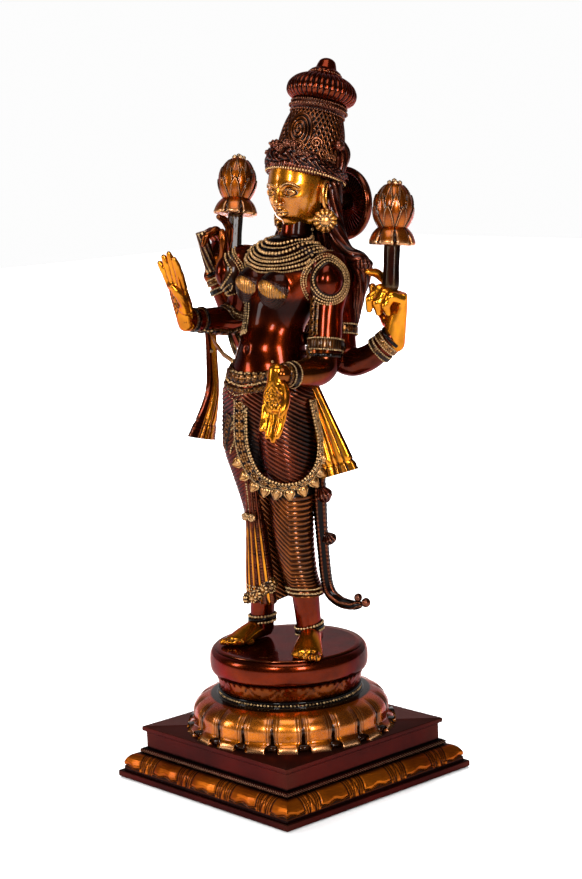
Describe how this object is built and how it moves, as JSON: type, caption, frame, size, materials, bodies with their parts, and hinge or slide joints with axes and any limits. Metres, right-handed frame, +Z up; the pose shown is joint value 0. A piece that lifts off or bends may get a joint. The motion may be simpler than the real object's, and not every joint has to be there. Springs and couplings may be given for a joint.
{
  "type": "lakshmi figure",
  "caption": "Standing four-armed Lakshmi in lacquered cast brass with raised lotuses, tall crown and draped cloth, on a round lotus pedestal and square moulded plinth",
  "frame": {"origin": "centre of the plinth's flat underside", "axes": "+Z up, -Y the way the figure faces, +X towards its left hand side; the plinth's sides run along X and Y"},
  "size_m": [0.2767, 0.262, 0.7388],
  "materials": {
    "plinth_brass": "cast brass under dark maroon lacquer, the carved round rubbed to amber",
    "pedestal_brass": "cast brass under amber lacquer on the petals and deep red lacquer on the drum",
    "figure_brass": "cast brass under glossy red-brown lacquer with gold face, hands and feet and black patina in the carving"
  },
  "bodies": {
    "root": {"plinth": "plinth_brass", "lotus_pedestal": "pedestal_brass", "figure": "figure_brass"}
  },
  "joints": []
}
